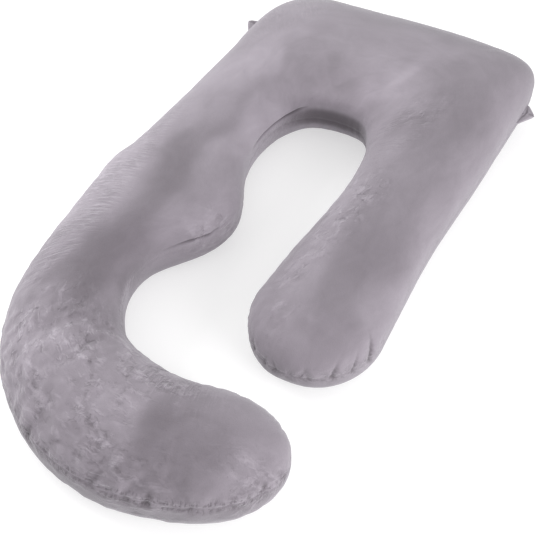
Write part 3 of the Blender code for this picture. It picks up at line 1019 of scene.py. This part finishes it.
# %% Plush material
def plush(name, colour, sheen):
    """Short pile. Its tone is patches times streaks times grain times the painted
    light, shade and pile tone, times one plus the other marks, among them painted
    shade in the gathers, creases and puckers. A ramp turns the tone into colour,
    the raised marks and the pile give the bump, and sheen the pile's tips."""
    material = bpy.data.materials.new(name)
    material.use_nodes = True
    tree = material.node_tree
    shader = tree.nodes["Principled BSDF"]
    uv = add_node(tree, "ShaderNodeUVMap", uv_map="cloth").outputs["UV"]
    layer = {kind: layered(tree, uv, row) for kind, row in LAYERS.items()}
    marked = {kind: mark(tree, kind) for kind in MARKS}
    in_groups = combined(tree, "MULTIPLY", layer["groups"], marked["crushed"])
    flecks = combined(tree, "MULTIPLY", layer["flecks"], in_groups)
    blotches = combined(tree, "MULTIPLY", layer["blotches"], in_groups)
    dents = combined(tree, "MULTIPLY", layer["dents"], in_groups)
    lines = combined(tree, "MULTIPLY", layer["lines"], layer["groups"], marked["combed"])
    strokes = combined(tree, "MULTIPLY", layer["strokes"], marked["gathered"])
    raised = combined(tree, "ADD", flecks, lines)
    change = combined(
        tree,
        "ADD",
        combined(tree, "MULTIPLY", raised, RAISED_PALER),
        combined(tree, "MULTIPLY", blotches, BLOTCHES_PALER),
        combined(tree, "MULTIPLY", dents, DENTS_DARKER),
        combined(tree, "MULTIPLY", marked["sewn"], layer["broken"]),
        # painted shade in the gathers of the seam
        combined(tree, "MULTIPLY", strokes, PAINTED_GATHER_SHADE),
        # painted shade in the creases and puckers
        combined(tree, "MULTIPLY", marked["pinched"], PAINTED_CREASE_SHADE),
        1.0,
    )
    # Painted light and shade, with some of the pile's own tone.
    painted_light_and_pile = combined(tree, "ADD", marked["painted_light_and_pile"], 1.0)
    tone = combined(tree, "MULTIPLY", layer["patches"], layer["brushed"], layer["grain"], painted_light_and_pile, change)
    shades = add_node(tree, "ShaderNodeValToRGB")
    ends = zip(shades.color_ramp.elements, (LEAST_TONE, MOST_TONE), (DARK_PILE, PALE_PILE))
    for element, share, tint in ends:
        element.color = (*(share * part * hue for part, hue in zip(colour, tint)), 1.0)
    tree.links.new(ranged(tree, tone, LEAST_TONE, MOST_TONE, 0.0, 1.0), shades.inputs["Fac"])
    tree.links.new(shades.outputs["Color"], shader.inputs["Base Color"])
    dented = combined(tree, "SUBTRACT", raised, dents)
    bump = add_node(tree, "ShaderNodeBump", Strength=0.7, Distance=0.0026)
    tree.links.new(combined(tree, "ADD", dented, layer["pile"], strokes), bump.inputs["Height"])
    tree.links.new(bump.outputs["Normal"], shader.inputs["Normal"])
    set_inputs(shader, Roughness=0.9, Specular_IOR_Level=0.15, Sheen_Weight=sheen)
    set_inputs(shader, Sheen_Roughness=0.50, Sheen_Tint=(0.92, 0.92, 0.95, 1.0))
    return material


velvet = plush("velvet_plush", (0.2395, 0.2120, 0.2395), 0.38)


# %% [markdown]
# The grid, its cloth coordinates and its marks now become one closed mesh.


# %% The pillow
def with_pole_values(values):
    """The grid's numbers in one list, with the mean of each end ring added."""
    return np.concatenate([values.reshape(-1), [values[0].mean(), values[-1].mean()]])


def surface_piece(name, points, uv, marks, material):
    """A closed mesh object at the origin from a grid of points, the cloth
    coordinates of its quads' corners and the marks kept at its points. Its
    faces are turned where they would point inwards."""
    columns = points.shape[1]
    quads, fans = tube_faces(*points.shape[:2])
    if volume_inside(with_poles(points), quads) < 0.0:
        quads, fans, uv = quads[:, ::-1], fans[:, ::-1], uv[:, ::-1]
    mesh = bpy.data.meshes.new(name)
    mesh.from_pydata(with_poles(points).tolist(), [], quads.tolist() + fans.tolist())
    fan_uv = np.repeat([uv[:columns].mean((0, 1)), uv[-columns:].mean((0, 1))], columns * 3, axis=0)
    layer = mesh.uv_layers.new(name="cloth")
    layer.data.foreach_set("uv", np.concatenate([uv.reshape(-1, 2), fan_uv]).reshape(-1))
    for mark_name, values in marks.items():
        attribute = mesh.attributes.new(mark_name, "FLOAT", "POINT")
        attribute.data.foreach_set("value", with_pole_values(values))
    mesh.materials.append(material)
    mesh.shade_smooth()
    piece = bpy.data.objects.new(name, mesh)
    bpy.context.scene.collection.objects.link(piece)
    print(name, "has", 2 * len(quads) + len(fans), "triangles")
    return piece


pillow = surface_piece("plush_pillow", dressed, quad_uv, MARKS, velvet)

# %% [markdown]
# ## The two folded tabs
#
# Below each head corner a small ear of the same cloth is caught in the seam,
# folded over at its outer edge. It could be a bent strip with a thickness, but
# its two leaves are sewn flat together at the seam, so one closed surface is
# simpler: slices across the ear, one after the other along the seam, each out
# along the lower leaf and back along the upper one. A furrow beside the seam
# and one towards the tip show where the cloth is folded.

# %% Folded ears
Ear = collections.namedtuple("Ear", "name node start end tip proud lift")
EARS = (
    Ear("folded_tab_right", "tab_right", 4.83, 5.33, 5.15, 0.027, -0.003),
    Ear("folded_tab_left", "tab_left", 10.95, 11.47, 11.15, 0.052, 0.007),
)
EAR_SLICES, EAR_COLUMNS = 72, 96
EAR_THICK = 0.009
TUCKED_IN = 0.005
EAR_FURROW = 0.0022
TIP_BLUNTED, TIP_ROUNDING = 0.07, 0.12
FOLD_PLACE, FOLD_WIDTH = 0.36, 0.085
TIP_FOLD_WIDTH, TIP_FOLD_LEAN = 0.055, 0.10
LEAST_PROUD, PROUD_LESS = 0.010, 0.002


def ear_surface(ear):
    """Points of an ear, and how deep each lies in a furrow. The slice at a
    share of the way along the seam stands out by a straight slope up to the tip
    and down again. Round the slice, the way out is the sine of half a turn, and
    the half thickness is a root that closes at the fold."""
    slices, columns = np.linspace(0.0, 1.0, EAR_SLICES), np.arange(EAR_COLUMNS) / EAR_COLUMNS
    share, turn = np.meshgrid(slices, columns, indexing="ij")
    edge = skin(ear.start + (ear.end - ear.start) * share[:, :1], np.zeros((EAR_SLICES, 1)))
    run = np.gradient(edge[:, 0, :2], axis=0)
    away = np.stack([run[:, 1], -run[:, 0]], axis=1) / np.linalg.norm(run, axis=1)[:, None]
    away *= np.sign(away @ (edge[:, 0, :2].mean(0) - (0.0, 0.5))).mean()
    tip = (ear.tip - ear.start) / (ear.end - ear.start)
    slope = np.where(share < tip, share / tip, (1.0 - share) / (1.0 - tip))
    slope = slope * (1.0 - TIP_BLUNTED * np.exp(-(((1.0 - slope) / TIP_ROUNDING) ** 2)))
    out = np.sin(math.pi * turn)
    upper = turn > 0.5
    beside = np.exp(-(((out - FOLD_PLACE) / FOLD_WIDTH) ** 2))
    across = np.exp(-(((share - tip + TIP_FOLD_LEAN * (1.0 - out)) / TIP_FOLD_WIDTH) ** 2))
    across *= np.clip((out - 0.35) / 0.3, 0.0, 1.0)
    furrow = np.where(upper, np.maximum(beside, 0.8 * across), 0.5 * beside)
    half = EAR_THICK / 2.0 * (0.45 + 0.55 * out**2) * np.sqrt(np.clip(1.0 - out**8, 0.0, 1.0))
    half = half * (0.40 + 0.60 * slope**0.6) - EAR_FURROW * furrow * slope * 0.6
    standing = LEAST_PROUD + (ear.proud - PROUD_LESS) * slope
    reach = standing * out - TUCKED_IN
    plan = edge[..., :2] + away[:, None] * reach[..., None]
    raised = ear.lift * (np.maximum(reach, 0.0) / ear.proud) ** 1.5
    height = edge[..., 2] + np.where(upper, half, -half) + raised
    return np.concatenate([plan, height[..., None]], axis=-1), furrow * slope


def straight_uv(points):
    """Metres along the seam and metres round the slice, at the four corners of
    each quad."""
    across = lengths_round(points)
    return corner_pairs(lengths_along(points.mean(axis=1)), across[:, :-1], across[:, 1:])


# The tabs are the same cloth as the pillow, with a paler base: painted light, so that they look as pale
# as the cloth beside them.
tab_plush_painted_paler = plush("tab_plush_painted_paler", (0.345, 0.312, 0.347), 0.40)
ears = []
for ear in EARS:
    ear_points, ear_furrow = ear_surface(ear)
    # The ear's furrows are painted darker: painted shade in the folds.
    ear_marks = {"painted_light_and_pile": -0.60 * ear_furrow, "crushed": np.full(ear_furrow.shape, 0.5)}
    ears.append(surface_piece(ear.name, ear_points, straight_uv(ear_points), ear_marks, tab_plush_painted_paler))
    corners = ear_points.reshape(-1, 3)
    print(ear.name, "box", corners.min(0).round(3), corners.max(0).round(3))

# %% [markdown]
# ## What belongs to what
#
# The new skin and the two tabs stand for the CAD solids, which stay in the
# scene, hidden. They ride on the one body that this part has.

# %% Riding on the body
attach(pillow, "root")
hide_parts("pillow")
for ear, piece in zip(EARS, ears):
    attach(piece, "root")
    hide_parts(ear.node)
